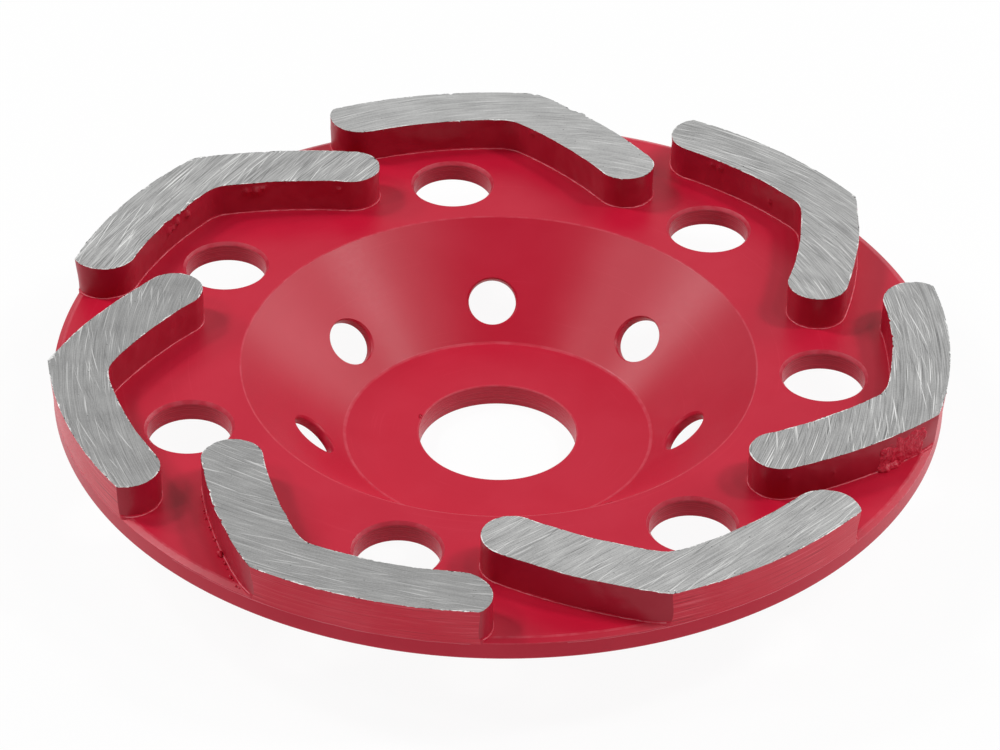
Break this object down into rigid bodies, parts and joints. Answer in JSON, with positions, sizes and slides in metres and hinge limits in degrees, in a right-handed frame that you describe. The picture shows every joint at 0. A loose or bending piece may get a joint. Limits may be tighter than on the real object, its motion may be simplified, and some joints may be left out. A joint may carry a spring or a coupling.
{
  "type": "diamond cup wheel",
  "caption": "Turned steel cup wheel for an angle grinder, with boomerang-shaped diamond segments brazed round its flange, dust holes and a plain bore.",
  "frame": {"origin": "centre of the bore at the hub's back face, on which the wheel rests", "axes": "+Z along the spindle axis, from the hub's back towards the segments; +X and +Y lie in the wheel's plane, and the picture looks along +Y and down"},
  "size_m": [0.1245, 0.1249, 0.0211],
  "materials": {
    "painted_steel": "satin red powder coat over turned steel",
    "ground_segment": "bare ground tops, red paint on the sides"
  },
  "bodies": {
    "root": {"cup_body": "painted_steel", "diamond_segment_1": "ground_segment", "diamond_segment_2": "ground_segment", "diamond_segment_3": "ground_segment", "diamond_segment_4": "ground_segment", "diamond_segment_5": "ground_segment", "diamond_segment_6": "ground_segment", "diamond_segment_7": "ground_segment"}
  },
  "joints": []
}
